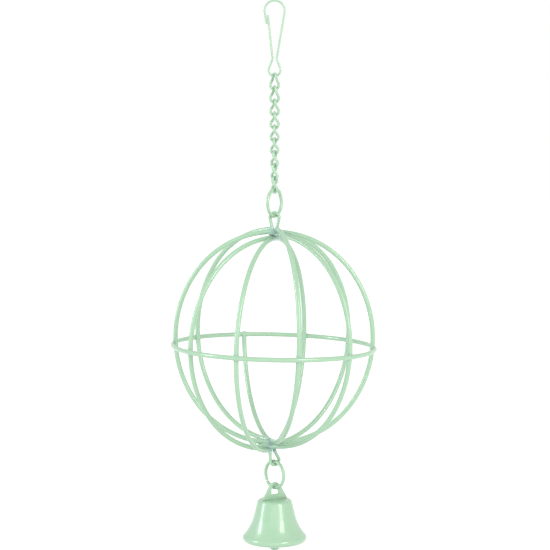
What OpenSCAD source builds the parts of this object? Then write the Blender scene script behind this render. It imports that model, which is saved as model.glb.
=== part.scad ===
// Hanging hay ball: a wire ball on a twisted-link chain, with a snap hook above and a bell below.
// Millimetres, +Z up. The origin is the middle of the hook's bow, where the cage bar hangs it.
// Bearings are in degrees seen from above, from the front (-Y) towards the right (+X).

/* [Hook] */
// Wire of the snap hook
hook_wire = 1; // [0.8:0.05:1.4]
// Radius of the bow, to the middle of the wire
bow_r = 4.9; // [4:0.1:8]
// Middle of the bow down to the neck
shank = 23.4; // [18:0.1:32]
// Clear gap between the two wires at the neck
neck_gap = 1; // [0.4:0.1:1.6]
// Straight tail on the bow's free end
tail = 5.6; // [4.6:0.1:8]
// Length of the gate that lies behind the tail
gate_overlap = 4.1; // [1.5:0.1:4.5]
// Gap between the closed gate and the tail
gate_gap = 0.3; // [0.3:0.05:0.5]
// Play round the gate's root
gate_play = 0.05; // [0.03:0.01:0.15]
// Radius of the loop that carries the chain, to the middle of the wire
hook_loop_r = 2.9; // [2.4:0.1:4]
// Neck down to the middle of that loop
loop_drop = 5.4; // [4.5:0.1:9]

/* [Chain] */
// Wire of the links
link_wire = 1.3; // [1:0.05:1.5]
// Radius of a link's two bends, to the middle of the wire
bend_r = 2.05; // [1.9:0.05:2.6]
// Length of a link between the middles of its two bends' wires
link_len = 7.72; // [7:0.01:10]
// Twist between the two ends of a link
link_twist = 65; // [50:1:80]
// Turn from one link to the next
chain_turn = -7; // [-10:0.5:0]
// Slack where one wire hangs in another
hang_gap = 0.12; // [0.08:0.01:0.3]

/* [Rings and eyes] */
// Wire of the two split rings
ring_wire = 1.7; // [1.2:0.05:1.9]
// Radius of the split rings, to the middle of the wire
ring_r = 6.65; // [6:0.05:9]
// Gap between the ends of a split ring
split_gap = 0.5; // [0.2:0.1:1]
// Turn of the upper ring
upper_ring_turn = 59; // [45:1:75]
// Place of the upper ring's split, up from its right
upper_split_at = 40; // [20:1:60]
// Turn of the lower ring
lower_ring_turn = -47; // [-60:1:-35]
// Place of the lower ring's split, up from its right
lower_split_at = 215; // [200:1:230]
// Wire of the two welded eyes
eye_wire = 1.65; // [1.2:0.05:1.8]
// Radius of an eye's bend, to the middle of the wire
eye_r = 2.35; // [2.2:0.05:3.2]
// Height of the top eye, from the middle of the hoop's wire to the middle of its own
top_eye_height = 9.4; // [7:0.1:12]
// Height of the bottom eye, measured the same way
bottom_eye_height = 7.8; // [7:0.1:12]
// Half the distance between an eye's two feet
eye_foot = 1.1; // [0.9:0.05:1.4]
// Turn of the top eye
top_eye_turn = -15; // [-25:1:10]
// Turn of the bottom eye
bottom_eye_turn = 20; // [10:1:30]
// How far the bottom eye's feet sit to the left of its bend
bottom_eye_skew = 1.4; // [0.8:0.1:1.6]

/* [Ball] */
// Wire of the hoops and ribs
hoop_wire = 2.35; // [1.8:0.05:2.8]
// Half the width of a hoop, to the middle of the wire
hoop_half_w = 48.9; // [40:0.1:70]
// How much half the height of a hoop is over half its width
hoop_rise = 3.7; // [2:0.1:8]
// How much the radius at a hoop's top and bottom is under half its width
hoop_ease = 1.8; // [1:0.1:5]
// How far the cross hoop sits below the side hoop
hoop_stack = 3.3; // [3.1:0.1:3.5]
// How far the cross hoop's wire sits to the left of the ball's axis
cross_aside = 0.9; // [0.7:0.1:1.1]
// Ribs' ends to the ball's axis
rib_end = 1.8; // [1.7:0.05:1.9]
// Depth of the eyes' feet in the hoops at their welds
weld_sink = 0.5; // [0.2:0.1:0.8]
// Wire of the belt round the ball
belt_wire = 2.25; // [1.6:0.05:2.8]
// Middle of the side hoop down to the belt
belt_drop = 4.3; // [0:0.1:12]
// Depth of the belt in the hoops at each weld
belt_sink = 1.3; // [0.4:0.05:1.6]
// Short rib's end above the belt
short_rib_tip = 2.1; // [0.5:0.1:4]
// Lean of the ball's wires to the right, about the ball's middle
ball_lean = 1.3; // [0:0.05:1.5]
// How far the ball's middle sits to the left of the hanging line
ball_aside = 0.4; // [0:0.05:0.6]

/* [Ball bearings] */
// Side hoop, right half
side_at = 87; // [84:0.5:90]
// Cross hoop, front half
cross_at = -20; // [-24:0.5:-18]
// Rib at the front left
front_left_at = -54.5; // [-57:0.5:-54]
// Rib at the front right
front_right_at = 14; // [13:0.5:15]
// Rib to the right, in front
right_front_at = 48; // [45:0.5:49]
// Rib to the right, behind
right_back_at = 128.5; // [128:0.5:132]
// Rib to the left, behind
left_back_at = 233; // [230:0.5:234]
// Short rib at the back, under the filling opening
short_back_at = 198.5; // [197:0.5:201]

/* [Rib heights] */
// Rib at the front left, above the middle between the two hoops
front_left_lift = -1.2; // [-1.3:0.1:-1]
// Rib at the front right
front_right_lift = 2.9; // [2.7:0.1:3.1]
// Rib to the right, in front
right_front_lift = 0.2; // [0:0.1:0.2]
// Rib to the right, behind
right_back_lift = 0.9; // [0.9:0.1:1.2]
// Rib to the left, behind
left_back_lift = 2.9; // [2.7:0.1:3.1]
// Short rib at the back
short_back_lift = 2.3; // [2.1:0.1:2.5]

/* [Bell] */
// Wall of the bell
bell_wall = 0.9; // [0.6:0.05:1.2]
// Radius of the crown's flat top
crown_r = 7; // [5.5:0.1:8.5]
// Rounding at the edge of the crown
shoulder_r = 1.8; // [1.3:0.1:2.6]
// Slope of the bell's waist, from upright
waist_slope = 14; // [8:1:18]
// Length of the straight waist, along its slope
waist_len = 7; // [3:0.1:8]
// Radius of the flare under the waist
flare_r = 24; // [18:0.5:34]
// Slope at the end of the flare, from upright
flare_slope = 41; // [34:1:48]
// Outer radius of the rolled lip
lip_r = 1.9; // [1.6:0.1:2.6]
// How far the lip rolls in past upright
lip_roll = 78; // [50:1:85]

/* [Bell hanger] */
// Sheet of the hanger
hanger_sheet = 1; // [0.7:0.05:1.2]
// Width of the hanger on the crown
hanger_base = 14.2; // [12:0.1:16]
// Height of the hanger above the crown
hanger_h = 8.6; // [8:0.1:10]
// Radius of the hanger's round top
hanger_top_r = 3.6; // [3.2:0.1:4.2]
// Height of the hanger's upright ends on the crown
hanger_shoulder = 0.7; // [0.4:0.1:1.5]
// Width of the hanger's window
window_w = 4.2; // [3.4:0.1:4.6]
// Bar over the window
window_bar = 1.8; // [1.2:0.1:2.2]
// Sill of the window above the crown
window_sill = 2.6; // [1.8:0.1:3.2]
// Turn of the hanger
hanger_turn = 35; // [20:1:50]
// Clearance of the tongue in the crown's slot
slot_gap = 0.1; // [0.05:0.01:0.2]
// Barbs that hold the tongue under the crown, beyond its sides
barb = 0.8; // [0.4:0.1:1.2]

/* [Clapper] */
// Wire of the clapper
clapper_wire = 1; // [0.8:0.05:1.2]
// Radius of the clapper's top loop, to the middle of the wire
clapper_loop_r = 2; // [1.9:0.05:2.3]
// Radius of the hole in the tongue
tongue_hole_r = 1.3; // [1.2:0.05:1.6]
// Metal round that hole
tongue_rim = 1; // [0.8:0.05:1.2]
// Slack of the clapper's loop in the hole
clapper_gap = 0.2; // [0.15:0.01:0.25]
// Crown's underside to the middle of the hole
tongue_drop = 2.8; // [2.6:0.1:4]
// Diameter of the clapper's ball
clapper_ball_d = 6; // [4.5:0.1:7.5]
// Middle of the hole to the middle of the ball
clapper_len = 19.5; // [15:0.1:20]
// Head that is peened over under the ball
peen_d = 2; // [1.6:0.1:2.6]
// Height of that head
peen_h = 1.4; // [0.8:0.1:2]

/* [Hidden] */
$fn = 64;
mint = "#b6dfc2";
link_count = 9;
links = [for (k = [1:link_count]) str("chain_link_", k)];

// A knuckle is a hair fatter than its wire, so that each bend closes round it
knuckle = 1.04;
// Steps along each curve of the bell's outline
bell_steps = 10;

// The hook's bow, its free end and the gate that springs against it
neck_half = (hook_wire + neck_gap) / 2;
neck_right = [neck_half, 0, -shank];
neck_left = [-neck_half, 0, -shank];
bow_turn = leave(bow_r, neck_half, shank);
tail_way = [cos(bow_turn), 0, -sin(bow_turn)];
leg_root = [bow_r * sin(bow_turn), 0, -bow_r * cos(bow_turn)];
tail_root = [-leg_root.x, 0, leg_root.z];
tail_end = tail_root + tail * tail_way;
gate_side = tail_end + (hook_wire + gate_gap) * [sin(bow_turn), 0, cos(bow_turn)];
gate_tip = gate_side - gate_overlap * tail_way;

// Heights down the hanging line
hoop_half_h = hoop_half_w + hoop_rise;
hook_loop_z = -shank - loop_drop;
link_pitch = link_len - link_wire - hang_gap;
first_link_z = hook_loop_z - hook_loop_r + (hook_wire + link_wire) / 2 + hang_gap;
chain_end_z = first_link_z - (link_count - 1) * link_pitch - link_len;
upper_ring_z = chain_end_z + (link_wire + ring_wire) / 2 + hang_gap - ring_r;
top_eye_z = upper_ring_z - ring_r + (ring_wire + eye_wire) / 2 + hang_gap - eye_r;
side_z = top_eye_z + eye_r - top_eye_height - hoop_half_h;
cross_z = side_z - hoop_stack;
rib_z = (side_z + cross_z) / 2;
belt_z = side_z - belt_drop;
belt_r = hoop_half_w + (hoop_wire + belt_wire) / 2 - belt_sink;
bottom_eye_z = cross_z - hoop_half_h - bottom_eye_height + eye_r;
lower_ring_z = bottom_eye_z - eye_r + (eye_wire + ring_wire) / 2 + hang_gap - ring_r;
window_top_z = lower_ring_z - ring_r + ring_wire / 2 + hang_gap;

// The hanger's straight flanks run from its round top to its upright ends
hanger_top_z = hanger_h - hanger_top_r;
hanger_end = [hanger_base / 2, hanger_shoulder];
flank_reach = norm(hanger_end - [0, hanger_top_z]);
flank_touch = acos(hanger_top_r / flank_reach) + atan2(hanger_shoulder - hanger_top_z, hanger_base / 2);
flank_root = [hanger_top_r * cos(flank_touch), hanger_top_z + hanger_top_r * sin(flank_touch)];
window_h = hanger_h - window_bar - window_sill;
crown_z = window_top_z - (hanger_h - window_bar);
tongue_z = crown_z - bell_wall - tongue_drop;
tongue_half = tongue_hole_r + tongue_rim;
clapper_loop_top = tongue_z - tongue_hole_r + clapper_wire / 2 + clapper_gap;

// The hoop's outline is an oval of four arcs: two ends and two flatter flanks
hoop_end_r = hoop_half_w - hoop_ease;
hoop_end_z = hoop_rise + hoop_ease;
hoop_flank_r = hoop_half_w - hoop_ease / 2 + hoop_end_z ^ 2 / (2 * hoop_ease);
hoop_join = atan2(hoop_end_z, hoop_flank_r - hoop_half_w);
hoop_seam = [hoop_end_r * cos(hoop_join), 0, hoop_end_z + hoop_end_r * sin(hoop_join)];
rib_stop = acos(rib_end / hoop_end_r);

// Angle from the line to the feet, at which a straight leg leaves a bend of radius r
function leave(r, foot, drop) = atan2(foot, drop) + acos(r / norm([foot, drop]));

function link_z(k) = first_link_z - (k - 1) * link_pitch;
function link_turn(k) = (k - 1) * chain_turn - link_twist / 2;
function around(r, angle, z) = [r * cos(angle), r * sin(angle), z];

// Points of a curve whose slope goes from one value to another, in radius and depth
function sweep(at, r, from, to) = [
    for (i = [0:bell_steps])
        let (s = from + (to - from) * i / bell_steps)
            at + r * [cos(from) - cos(s), sin(s) - sin(from)]
];
function roll(at, r, from, to) = [
    for (i = [0:bell_steps])
        let (s = from + (to - from) * i / bell_steps)
            at + r * [cos(s) - cos(from), sin(from) - sin(s)]
];

module wire_arc(r, wire, from, to) {
    rotate([90, 0, 0])
        rotate([0, 0, from])
            rotate_extrude(angle = to - from)
                translate([r, 0])
                    circle(d = wire);
}

module rod(from, to, wire) {
    run = to - from;
    translate(from)
        rotate([0, acos(run.z / norm(run)), atan2(run.y, run.x)])
            cylinder(d = wire, h = norm(run));
}

module knuckle_at(p, wire) {
    translate(p)
        sphere(d = wire * knuckle);
}

// A bend with two straight legs that close in on two feet below it, which may sit aside of it
module pear(r, wire, foot, drop, aside = 0) {
    turn = leave(r, foot, drop);
    wire_arc(r, wire, turn - 90, 270 - turn);
    for (side = [-1, 1]) {
        root = [side * r * sin(turn), 0, -r * cos(turn)];
        rod(root, [side * foot + aside, 0, -drop], wire);
        knuckle_at(root, wire);
    }
}

module bearing(angle) {
    rotate([0, 0, angle - 90])
        children();
}

// Hook

module hook_wire_form() {
    color(mint) {
        wire_arc(bow_r, hook_wire, bow_turn - 90, 270 - bow_turn);
        rod(leg_root, neck_right, hook_wire);
        rod(tail_root, tail_end, hook_wire);
        for (p = [tail_root, tail_end, leg_root, neck_right, neck_left])
            knuckle_at(p, hook_wire);
        translate([0, 0, hook_loop_z])
            mirror([0, 0, 1])
                pear(hook_loop_r, hook_wire, neck_half, loop_drop);
    }
}

module hook_gate() {
    color(mint) {
        difference() {
            rod(neck_left, gate_tip, hook_wire);
            translate(neck_left)
                sphere(d = hook_wire * knuckle + 2 * gate_play);
        }
        knuckle_at(gate_tip, hook_wire);
    }
}

// Chain

module chain_link(k) {
    low = link_turn(k) + link_twist / 2;
    high = link_turn(k) - link_twist / 2;
    color(mint)
        translate([0, 0, link_z(k)]) {
            translate([0, 0, -bend_r])
                rotate([0, 0, high])
                    wire_arc(bend_r, link_wire, 0, 180);
            translate([0, 0, bend_r - link_len])
                rotate([0, 0, low])
                    wire_arc(bend_r, link_wire, 180, 360);
            for (side = [0, 180]) {
                top = around(bend_r, high + side, -bend_r);
                foot = around(bend_r, low + side, bend_r - link_len);
                rod(top, foot, link_wire);
                knuckle_at(top, link_wire);
                knuckle_at(foot, link_wire);
            }
        }
}

// Rings and eyes

module split_ring(split_at) {
    half_split = asin(split_gap / 2 / ring_r);
    color(mint)
        wire_arc(ring_r, ring_wire, split_at + half_split, split_at + 360 - half_split);
}

module upper_ring() {
    translate([0, 0, upper_ring_z])
        rotate([0, 0, upper_ring_turn])
            split_ring(upper_split_at);
}

module lower_ring() {
    translate([0, 0, lower_ring_z])
        rotate([0, 0, lower_ring_turn])
            split_ring(lower_split_at);
}

module eye(height, aside = 0) {
    color(mint)
        pear(eye_r, eye_wire, eye_foot, height - eye_r - hoop_wire / 2 + weld_sink, aside);
}

module top_eye() {
    translate([0, 0, top_eye_z])
        rotate([0, 0, top_eye_turn])
            eye(top_eye_height);
}

module bottom_eye() {
    translate([0, 0, bottom_eye_z])
        rotate([0, 0, bottom_eye_turn])
            mirror([0, 0, 1])
                eye(bottom_eye_height, -bottom_eye_skew);
}

// Ball

module leaning() {
    translate([-ball_aside, 0, rib_z])
        rotate([0, ball_lean, 0])
            translate([0, 0, -rib_z])
                children();
}

module hoop_end(from, to) {
    translate([0, 0, hoop_end_z])
        wire_arc(hoop_end_r, hoop_wire, from, to);
    knuckle_at(hoop_seam, hoop_wire);
}

module hoop_flank(from, to) {
    translate([hoop_half_w - hoop_flank_r, 0, 0])
        wire_arc(hoop_flank_r, hoop_wire, from, to);
}

module hoop() {
    for (turn = [0, 180])
        rotate([0, turn, 0]) {
            hoop_end(hoop_join, 180 - hoop_join);
            hoop_flank(-hoop_join, hoop_join);
            mirror([1, 0, 0])
                knuckle_at(hoop_seam, hoop_wire);
        }
}

module side_hoop() {
    color(mint)
        leaning()
            translate([0, 0, side_z])
                bearing(side_at)
                    hoop();
}

module cross_hoop() {
    color(mint)
        leaning()
            translate([0, 0, cross_z])
                bearing(cross_at)
                    translate([0, -cross_aside, 0])
                        hoop();
}

module rib_foot() {
    mirror([0, 0, 1])
        hoop_end(hoop_join, rib_stop);
}

module rib(at, lift) {
    color(mint)
        leaning()
            translate([0, 0, rib_z + lift])
                bearing(at) {
                    rib_foot();
                    hoop_flank(-hoop_join, hoop_join);
                    hoop_end(hoop_join, rib_stop);
                }
}

module rib_front_left() { rib(front_left_at, front_left_lift); }
module rib_front_right() { rib(front_right_at, front_right_lift); }
module rib_right_front() { rib(right_front_at, right_front_lift); }
module rib_right_back() { rib(right_back_at, right_back_lift); }
module rib_left_back() { rib(left_back_at, left_back_lift); }

module short_rib_back() {
    middle_z = rib_z + short_back_lift;
    tip = asin((belt_z + short_rib_tip - middle_z) / hoop_flank_r);
    color(mint)
        leaning()
            translate([0, 0, middle_z])
                bearing(short_back_at) {
                    rib_foot();
                    hoop_flank(-hoop_join, tip);
                }
}

module belt_ring() {
    color(mint)
        leaning()
            translate([0, 0, belt_z])
                rotate_extrude()
                    translate([belt_r, 0])
                        circle(d = belt_wire);
}

// Bell

// The wall's section in radius and depth, between its outer and its inner side
module bell_wall_section() {
    outer = concat([[0, 0]], bell_side(0));
    inner = concat([[0, bell_wall]], bell_side(bell_wall));
    polygon(concat(outer, [for (i = [len(inner) - 1:-1:0]) inner[i]]));
}

// One side of the wall from the crown's edge to the lip, at a depth in the wall
function bell_side(inset) =
    let (
        shoulder = roll([crown_r, inset], shoulder_r - inset, 90, waist_slope),
        waist = shoulder[bell_steps] + waist_len * [sin(waist_slope), cos(waist_slope)],
        flare = sweep(waist, flare_r + inset, waist_slope, flare_slope),
        lip = roll(flare[bell_steps], lip_r - inset, flare_slope, -lip_roll)
    )
    concat(shoulder, flare, [for (i = [1:bell_steps]) lip[i]]);

module bell_shell() {
    color(mint)
        translate([0, 0, crown_z])
            difference() {
                mirror([0, 0, 1])
                    rotate_extrude()
                        bell_wall_section();
                rotate([0, 0, hanger_turn])
                    translate([-tongue_half - slot_gap, -hanger_sheet / 2 - slot_gap, -2 * bell_wall])
                        cube([2 * (tongue_half + slot_gap), hanger_sheet + 2 * slot_gap, 3 * bell_wall]);
            }
}

module hanger_outline() {
    right = [[hanger_base / 2, 0], hanger_end, flank_root];
    left = [for (i = [2:-1:0]) [-right[i].x, right[i].y]];
    difference() {
        union() {
            polygon(concat(right, left));
            translate([0, hanger_top_z])
                circle(r = hanger_top_r);
        }
        window_outline();
    }
    tongue_outline();
}

module window_outline() {
    translate([-window_w / 2, window_sill])
        square([window_w, window_h - window_w / 2]);
    translate([0, window_sill + window_h - window_w / 2])
        circle(d = window_w);
}

module tongue_outline() {
    hole = tongue_z - crown_z;
    difference() {
        union() {
            translate([-tongue_half, hole])
                square([2 * tongue_half, -hole]);
            translate([0, hole])
                circle(r = tongue_half);
            translate([-tongue_half - barb, -bell_wall - slot_gap - barb])
                square([2 * (tongue_half + barb), barb]);
        }
        translate([0, hole])
            circle(r = tongue_hole_r);
    }
}

module bell_hanger() {
    color(mint)
        translate([0, 0, crown_z])
            rotate([90, 0, hanger_turn])
                linear_extrude(hanger_sheet, center = true)
                    hanger_outline();
}

// Clapper

module clapper_rod() {
    loop_z = clapper_loop_top - clapper_loop_r;
    ball_z = tongue_z - clapper_len;
    ball_end = ball_z - clapper_ball_d / 2;
    color(mint) {
        translate([0, 0, loop_z])
            rotate([0, 0, hanger_turn + 90])
                wire_arc(clapper_loop_r, clapper_wire, 0, 360);
        rod([0, 0, ball_end], [0, 0, loop_z - clapper_loop_r], clapper_wire);
        rod([0, 0, ball_end - peen_h], [0, 0, ball_end], peen_d);
    }
}

module clapper_ball() {
    color(mint)
        translate([0, 0, tongue_z - clapper_len])
            difference() {
                sphere(d = clapper_ball_d);
                cylinder(d = clapper_wire, h = 2 * clapper_ball_d, center = true);
                translate([0, 0, -2 * clapper_ball_d - clapper_ball_d / 2])
                    cylinder(d = peen_d, h = 2 * clapper_ball_d);
            }
}

hook_wire_form();
hook_gate();
for (k = [1:link_count])
    chain_link(k);
upper_ring();
top_eye();
side_hoop();
cross_hoop();
rib_front_left();
rib_front_right();
rib_right_front();
rib_right_back();
rib_left_back();
short_rib_back();
belt_ring();
bottom_eye();
lower_ring();
bell_shell();
bell_hanger();
clapper_rod();
clapper_ball();
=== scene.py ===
"""The looks of a hanging hay ball.

A welded wire ball hangs on a chain of twisted links, with a snap hook above it and a bell below. Sizes are in
millimetres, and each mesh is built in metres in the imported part's own frame: +Z up, the front towards -Y, the
origin in the middle of the hook's bow. Bearings are degrees from the front to the right, seen from above.
"""

import logging
import math
from dataclasses import dataclass, field
from enum import Enum
from itertools import pairwise

import bmesh
import bpy
from mathutils import Matrix, Vector, noise


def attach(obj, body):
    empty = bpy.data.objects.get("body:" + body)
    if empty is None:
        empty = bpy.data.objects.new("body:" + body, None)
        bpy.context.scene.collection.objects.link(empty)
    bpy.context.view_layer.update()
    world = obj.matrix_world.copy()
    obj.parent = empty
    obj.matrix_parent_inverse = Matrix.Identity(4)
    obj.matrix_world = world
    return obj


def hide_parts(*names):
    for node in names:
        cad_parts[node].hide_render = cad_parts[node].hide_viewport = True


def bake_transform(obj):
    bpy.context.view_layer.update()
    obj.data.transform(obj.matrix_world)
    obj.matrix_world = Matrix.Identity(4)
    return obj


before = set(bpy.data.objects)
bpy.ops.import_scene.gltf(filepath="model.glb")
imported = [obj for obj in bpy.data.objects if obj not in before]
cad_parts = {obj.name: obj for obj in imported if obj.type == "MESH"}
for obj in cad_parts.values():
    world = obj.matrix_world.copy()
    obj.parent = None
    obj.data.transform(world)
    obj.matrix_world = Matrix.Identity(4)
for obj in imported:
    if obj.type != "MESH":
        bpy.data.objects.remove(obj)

LOG = logging.getLogger("hay_ball")
MM = 0.001
UP = Vector((0.0, 0.0, 1.0))
SAME_POINT = 0.05
POOL_SHADE = "pool_shade"
Line = list[Vector]
Outline = list[tuple[float, float]]
Colour = tuple[float, float, float]


class Pole(Enum):
    """The two ends of the ball's axis, as the sign of their height."""

    TOP = 1
    BOTTOM = -1


def yaw(degrees: float) -> Vector:
    """Returns the level direction that is turned by so many degrees from +X towards +Y."""
    turn = math.radians(degrees)
    return Vector((math.cos(turn), math.sin(turn), 0.0))


def bearing(degrees: float) -> Vector:
    """Returns the level direction at a bearing from the front."""
    return yaw(degrees - 90.0)


def arc(centre: Vector, across: Vector, radius: float, start: float, end: float, step: float = 0.35) -> Line:
    """Lays points along an arc in the upright plane that holds a level direction.

    Args:
        centre: Middle of the arc.
        across: Level direction from which the angles run, towards +Z.
        radius: Radius of the arc.
        start: First angle in degrees.
        end: Last angle in degrees.
        step: Largest distance between two points.

    Returns:
        The points, both ends included.
    """
    turn = math.radians(end - start)
    count = max(3, math.ceil(abs(turn) * radius / step))
    angles = [math.radians(start) + turn * i / count for i in range(count + 1)]
    return [centre + radius * (math.cos(a) * across + math.sin(a) * UP) for a in angles]


def straight(start: Vector, end: Vector, step: float = 0.5) -> Line:
    """Lays evenly spaced points from start to end, both included."""
    count = max(2, math.ceil((end - start).length / step))
    return [start.lerp(end, i / count) for i in range(count + 1)]


def swing(start: Vector, leaving: Vector, end: Vector, arriving: Vector, count: int = 14) -> Line:
    """Lays a smooth curve between two points, from one direction of travel to another.

    Args:
        start: First point.
        leaving: Travel at the first point, as long as its pull.
        end: Last point.
        arriving: Travel at the last point, as long as its pull.
        count: Number of steps.

    Returns:
        The points, both ends included.
    """
    points = []
    for i in range(count + 1):
        t = i / count
        a, b = 2 * t**3 - 3 * t**2 + 1, t**3 - 2 * t**2 + t
        c, d = -2 * t**3 + 3 * t**2, t**3 - t**2
        points.append(a * start + b * leaving + c * end + d * arriving)
    return points


def bent(before: Vector, corner: Vector, after: Vector, radius: float, count: int = 8) -> Line:
    """Rounds the corner between two straights.

    Args:
        before: A point on the straight that comes in.
        corner: Where the straights would meet.
        after: A point on the straight that goes out.
        radius: Radius of the bend.
        count: Number of steps.

    Returns:
        Points along the bend, from one straight to the other.
    """
    back, ahead = (before - corner).normalized(), (after - corner).normalized()
    half = back.angle(ahead) / 2
    centre = corner + (back + ahead).normalized() * radius / math.sin(half)
    first = corner + back * radius / math.tan(half) - centre
    last = corner + ahead * radius / math.tan(half) - centre
    return [centre + first.slerp(last, i / count) * radius for i in range(count + 1)]


def joined(*runs: Line) -> Line:
    """Joins runs of points end to end.

    Args:
        runs: The runs, in order.

    Returns:
        One line, without the points that two runs share.
    """
    line: Line = []
    for run in runs:
        line += [p for p in run if not line or (p - line[-1]).length > SAME_POINT]
    return line


def leave(radius: float, foot: float, drop: float) -> float:
    """Returns the angle from straight down at which a leg to a foot leaves a bend, in degrees."""
    return math.degrees(math.atan2(foot, drop) + math.acos(radius / math.hypot(foot, drop)))


def rounded(mesh: bmesh.types.BMesh) -> bmesh.types.BMesh:
    """Turns a closed mesh's faces outwards and shades them as round.

    Args:
        mesh: The mesh, changed in place.

    Returns:
        The same mesh.
    """
    bmesh.ops.recalc_face_normals(mesh, faces=mesh.faces)
    for face in mesh.faces:
        face.smooth = True
    return mesh


def spun(profile: Outline, steps: int, merge: float) -> bmesh.types.BMesh:
    """Spins an outline about the part's axis.

    Args:
        profile: Pairs of radius and height, in millimetres.
        steps: Number of steps round the axis.
        merge: Distance within which points become one, in millimetres.

    Returns:
        The spun surface, in metres.
    """
    mesh = bmesh.new()
    verts = [mesh.verts.new((r * MM, 0.0, z * MM)) for r, z in profile]
    edges = [mesh.edges.new(pair) for pair in pairwise(verts)]
    bmesh.ops.spin(
        mesh,
        geom=verts + edges,
        cent=(0, 0, 0),
        axis=(0, 0, 1),
        angle=2 * math.pi,
        steps=steps,
        use_merge=True,
    )
    bmesh.ops.remove_doubles(mesh, verts=mesh.verts, dist=merge * MM)
    return mesh


def ranged(
    tree: bpy.types.NodeTree,
    value: bpy.types.NodeSocket,
    reads: tuple[float, float],
    gives: tuple[float, float],
    blend: str = "LINEAR",
) -> bpy.types.NodeSocket:
    """Adds a node that turns one range of values into another.

    Args:
        tree: A material's nodes.
        value: The socket that gives the value.
        reads: Lowest and highest value that counts.
        gives: What those two become.
        blend: How the values between them run.

    Returns:
        The socket of the result.
    """
    node = tree.nodes.new("ShaderNodeMapRange")
    node.interpolation_type = blend
    for end, before, after in zip(("Min", "Max"), reads, gives):
        node.inputs[f"From {end}"].default_value = before
        node.inputs[f"To {end}"].default_value = after
    tree.links.new(value, node.inputs["Value"])
    return node.outputs["Result"]


@dataclass(frozen=True)
class Mottle:
    """An uneven pattern in a finish.

    Attributes:
        scale: Fineness of the pattern, as patches to the metre.
        detail: Number of finer layers in it.
        reads: Lowest and highest value of the noise that counts.
        gives: What those two become.
    """

    scale: float
    detail: float = 2.0
    reads: tuple[float, float] = (0.0, 1.0)
    gives: tuple[float, float] = (0.0, 1.0)

    def value(self, tree: bpy.types.NodeTree, place: bpy.types.NodeSocket) -> bpy.types.NodeSocket:
        """Adds the pattern to a material.

        Args:
            tree: The material's nodes.
            place: The socket of the coordinates that the pattern lies on.

        Returns:
            The socket of the pattern's value.
        """
        cloud = tree.nodes.new("ShaderNodeTexNoise")
        cloud.inputs["Scale"].default_value = self.scale
        cloud.inputs["Detail"].default_value = self.detail
        tree.links.new(place, cloud.inputs["Vector"])
        return ranged(tree, cloud.outputs["Fac"], self.reads, self.gives)


@dataclass(frozen=True)
class Finish:
    """What the finishes share.

    Attributes:
        name: The material's name.
    """

    name: str

    def start(self) -> tuple[bpy.types.Material, bpy.types.Node, bpy.types.NodeSocket]:
        """Starts the finish's material.

        Returns:
            The material, its shader and the socket of the Object coordinates.
        """
        made = bpy.data.materials.new(self.name)
        made.use_nodes = True
        nodes = made.node_tree.nodes
        return made, nodes["Principled BSDF"], nodes.new("ShaderNodeTexCoord").outputs["Object"]


@dataclass(frozen=True)
class CoatFinish(Finish):
    """A glossy coating that was dipped or sprayed on, with painted shade, a little darker and bluer, where it
    ran together over the welds.

    Attributes:
        light: Colour of the coating where it lies thin.
        deep: Colour where it lies a little thicker.
        pooled_shade: Painted shade over the welds, where the coating ran together: a little darker and bluer,
            for the crevices there.
        drift: Pattern between the first two colours.
        gloss: Pattern of the roughness.
        grain: Pattern of the fine unevenness of the surface.
        peel: Height of that unevenness, in metres.
        peel_share: How strongly it shows.
        skin: How much clear skin lies on the colour.
        skin_roughness: Roughness of that skin.
    """

    light: Colour
    deep: Colour
    pooled_shade: Colour
    drift: Mottle = Mottle(70.0, 3.0, reads=(0.35, 0.7))
    gloss: Mottle = Mottle(260.0, 4.0, reads=(0.3, 0.7), gives=(0.24, 0.4))
    grain: Mottle = Mottle(900.0)
    peel: float = 0.00006
    peel_share: float = 0.08
    skin: float = 0.6
    skin_roughness: float = 0.15

    def material(self) -> bpy.types.Material:
        """Makes the coating's material.

        Returns:
            A material that reads Object coordinates and the wires' pool_shade attribute, which places the
            painted shade at the welds.
        """
        made, shader, place = self.start()
        tree = made.node_tree

        tone = tree.nodes.new("ShaderNodeMix")
        tone.data_type = "RGBA"
        tone.inputs["A"].default_value = (*self.light, 1.0)
        tone.inputs["B"].default_value = (*self.deep, 1.0)
        tree.links.new(self.drift.value(tree, place), tone.inputs["Factor"])

        # Painted shade: the pool_shade attribute mixes in the darker, bluer colour at the welds' crevices.
        pool_shade = tree.nodes.new("ShaderNodeAttribute")
        pool_shade.attribute_name = POOL_SHADE
        pool_shade_mix = tree.nodes.new("ShaderNodeMix")
        pool_shade_mix.data_type = "RGBA"
        pool_shade_mix.inputs["B"].default_value = (*self.pooled_shade, 1.0)
        tree.links.new(tone.outputs["Result"], pool_shade_mix.inputs["A"])
        tree.links.new(pool_shade.outputs["Fac"], pool_shade_mix.inputs["Factor"])
        tree.links.new(pool_shade_mix.outputs["Result"], shader.inputs["Base Color"])

        bump = tree.nodes.new("ShaderNodeBump")
        bump.inputs["Strength"].default_value = self.peel_share
        bump.inputs["Distance"].default_value = self.peel
        tree.links.new(self.grain.value(tree, place), bump.inputs["Height"])
        tree.links.new(bump.outputs["Normal"], shader.inputs["Normal"])

        tree.links.new(self.gloss.value(tree, place), shader.inputs["Roughness"])
        shader.inputs["Coat Weight"].default_value = self.skin
        shader.inputs["Coat Roughness"].default_value = self.skin_roughness
        return made


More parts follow.
